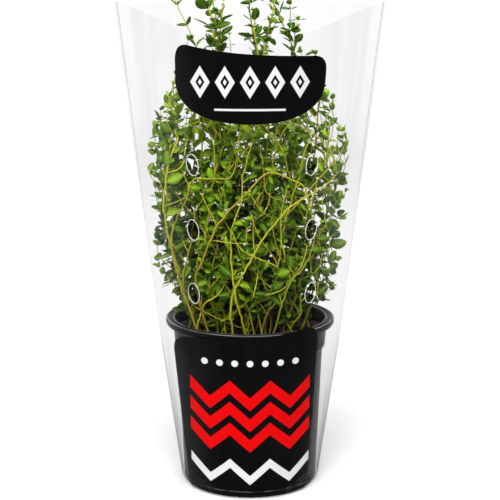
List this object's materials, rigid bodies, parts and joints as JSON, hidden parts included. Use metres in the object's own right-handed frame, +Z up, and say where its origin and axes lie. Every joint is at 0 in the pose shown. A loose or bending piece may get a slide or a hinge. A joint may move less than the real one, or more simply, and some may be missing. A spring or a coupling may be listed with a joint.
{
  "type": "potted thyme",
  "caption": "Leafy thyme bush growing in a black plastic pot, wrapped in a clear tapered sleeve with punched air holes, black panels and a scooped front edge.",
  "frame": {"origin": "centre of the underside of the pot's foot ring, the surface that the pot stands on", "axes": "+Z up along the pot's axis to the tips of the thyme, -Y towards the front panels, +X to the right seen from the front"},
  "size_m": [0.164, 0.1306, 0.3289],
  "materials": {
    "pot": "satin",
    "soil": "matte",
    "thyme": "satin",
    "film": "gloss",
    "print": "satin"
  },
  "bodies": {
    "root": {"pot": "pot", "soil": "soil", "thyme_stem_01": "thyme", "thyme_stem_02": "thyme", "thyme_stem_03": "thyme", "thyme_stem_04": "thyme", "thyme_stem_05": "thyme", "thyme_stem_06": "thyme", "thyme_stem_07": "thyme", "thyme_stem_08": "thyme", "thyme_stem_09": "thyme", "thyme_stem_10": "thyme", "thyme_stem_11": "thyme", "thyme_stem_12": "thyme", "thyme_stem_13": "thyme", "thyme_stem_14": "thyme", "thyme_stem_15": "thyme", "thyme_stem_16": "thyme", "thyme_stem_17": "thyme", "thyme_stem_18": "thyme", "thyme_stem_19": "thyme", "thyme_stem_20": "thyme", "thyme_stem_21": "thyme", "thyme_stem_22": "thyme", "thyme_stem_23": "thyme", "thyme_stem_24": "thyme", "thyme_stem_25": "thyme", "thyme_stem_26": "thyme", "sleeve": "film", "upper_panel": "print", "lower_panel": "print"}
  },
  "joints": []
}
